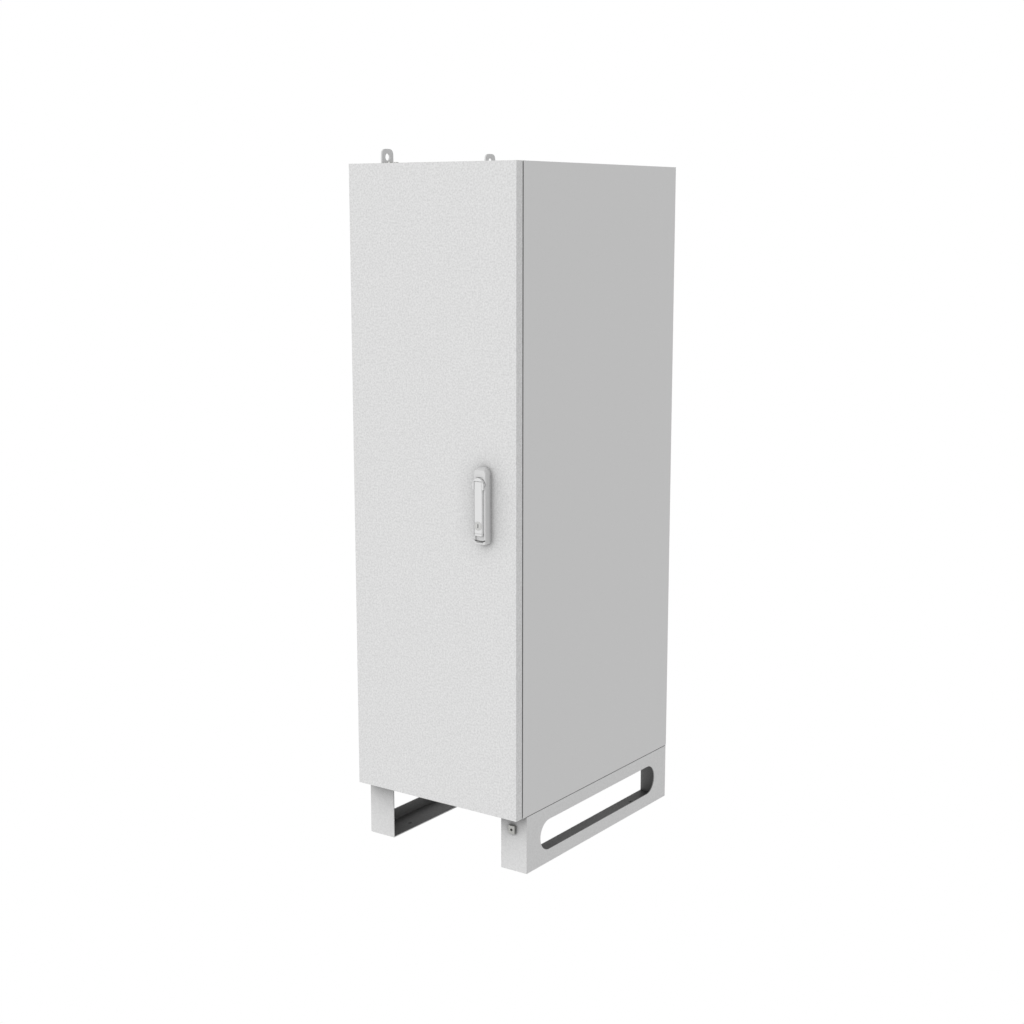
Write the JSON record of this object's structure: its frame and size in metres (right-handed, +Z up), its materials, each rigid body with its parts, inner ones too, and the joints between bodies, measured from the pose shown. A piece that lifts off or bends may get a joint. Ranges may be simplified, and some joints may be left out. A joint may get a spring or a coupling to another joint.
{
  "type": "battery cabinet",
  "caption": "Floor-standing steel battery cabinet on a plinth, with a hinged door, a swing handle with a rod latch, and rack-mounted battery modules inside.",
  "frame": {"origin": "centre of the four floor anchor holes in the plinth, on the floor", "axes": "+X right seen from the front, +Y towards the back, +Z up"},
  "size_m": [0.612, 0.9141, 2.125],
  "materials": {
    "cabinet_paint": "matte",
    "door_paint": "matte",
    "galvanised_sheet": "satin",
    "zinc_steel": "satin",
    "module_case": "matte",
    "box_paint": "matte",
    "breaker_plastic": "matte",
    "button_plastic": "gloss",
    "busbar_copper": "satin",
    "insulator": "satin",
    "seal_rubber": "matte",
    "handle_plastic": "satin",
    "handle_metal": "satin",
    "lock_metal": "satin",
    "guide_plastic": "satin"
  },
  "bodies": {
    "cabinet": {"battery_module_1": "module_case", "battery_module_2": "module_case", "battery_module_3": "module_case", "battery_module_4": "module_case", "battery_module_5": "module_case", "battery_module_6": "module_case", "breaker_body": "breaker_plastic", "busbar_insulators": "insulator", "busbar_negative": "busbar_copper", "busbar_positive": "busbar_copper", "busbar_supports": "galvanised_sheet", "control_box": "box_paint", "corner_posts": "cabinet_paint", "earth_bar": "busbar_copper", "earth_boss": "zinc_steel", "floor_pan": "cabinet_paint", "front_frame": "cabinet_paint", "gland_plate": "cabinet_paint", "gland_screws": "zinc_steel", "hinge_knuckles_body": "zinc_steel", "hinge_pins": "zinc_steel", "lug_front": "cabinet_paint", "lug_rear": "cabinet_paint", "lug_screws": "zinc_steel", "module_screws": "zinc_steel", "plinth_bolts": "zinc_steel", "plinth_rail_left": "cabinet_paint", "plinth_rail_right": "cabinet_paint", "rack_rail_front_left": "galvanised_sheet", "rack_rail_front_right": "galvanised_sheet", "rack_rail_rear_left": "galvanised_sheet", "rack_rail_rear_right": "galvanised_sheet", "rail_brackets": "galvanised_sheet", "rear_panel": "cabinet_paint", "rear_screws": "zinc_steel", "roof_panel": "cabinet_paint", "runners_left": "galvanised_sheet", "runners_right": "galvanised_sheet", "side_wall_left": "cabinet_paint", "side_wall_right": "cabinet_paint"},
    "door": {"door_panel": "door_paint", "door_seal": "seal_rubber", "door_stiffeners": "door_paint", "hinge_knuckles_door": "zinc_steel", "handle_housing": "handle_plastic", "handle_screws": "zinc_steel", "latch_bracket": "galvanised_sheet", "latch_bridge": "galvanised_sheet", "rod_guides": "guide_plastic"},
    "handle": {"handle_yoke": "handle_metal", "spindle": "zinc_steel", "pinion": "zinc_steel", "lever_pin": "zinc_steel"},
    "lever": {"handle_lever": "handle_metal"},
    "lock": {"lock_plug": "lock_metal"},
    "rod_upper": {"rod_upper": "zinc_steel"},
    "rod_lower": {"rod_lower": "zinc_steel"},
    "breaker": {"breaker_toggle": "breaker_plastic"},
    "button": {"start_button": "button_plastic"}
  },
  "joints": [
    {"name": "door_hinge", "type": "hinge", "parent": "cabinet", "child": "door", "pos_m": [-0.306, -0.4325, 1.128], "axis": [0, 0, -1], "range_deg": [0, 170]},
    {"name": "handle_swing", "type": "hinge", "parent": "door", "child": "handle", "pos_m": [0.191, -0.49, 1.176], "axis": [0, 1, 0], "range_deg": [0, 90]},
    {"name": "lever_lift", "type": "hinge", "parent": "handle", "child": "lever", "pos_m": [0.191, -0.4966, 1.1815], "axis": [-1, 0, 0], "range_deg": [0, 20]},
    {"name": "key_turn", "type": "hinge", "parent": "lever", "child": "lock", "pos_m": [0.191, -0.4966, 1.056], "axis": [0, 1, 0], "range_deg": [0, 90]},
    {"name": "rod_upper_slide", "type": "slide", "parent": "door", "child": "rod_upper", "axis": [0, 0, -1], "range_m": [0, 0.019]},
    {"name": "rod_lower_slide", "type": "slide", "parent": "door", "child": "rod_lower", "axis": [0, 0, 1], "range_m": [0, 0.019]},
    {"name": "breaker_throw", "type": "hinge", "parent": "cabinet", "child": "breaker", "pos_m": [0.1, -0.374, 1.90575], "axis": [1, 0, 0], "range_deg": [0, 40]},
    {"name": "start_press", "type": "slide", "parent": "cabinet", "child": "button", "axis": [0, 1, 0], "range_m": [0, 0.003], "stiffness_N_per_m": 400}
  ],
  "couplings": [
    {"joint": "rod_upper_slide", "follows": "handle_swing", "m_per_rad": 0.012},
    {"joint": "rod_lower_slide", "follows": "handle_swing", "m_per_rad": 0.012}
  ]
}
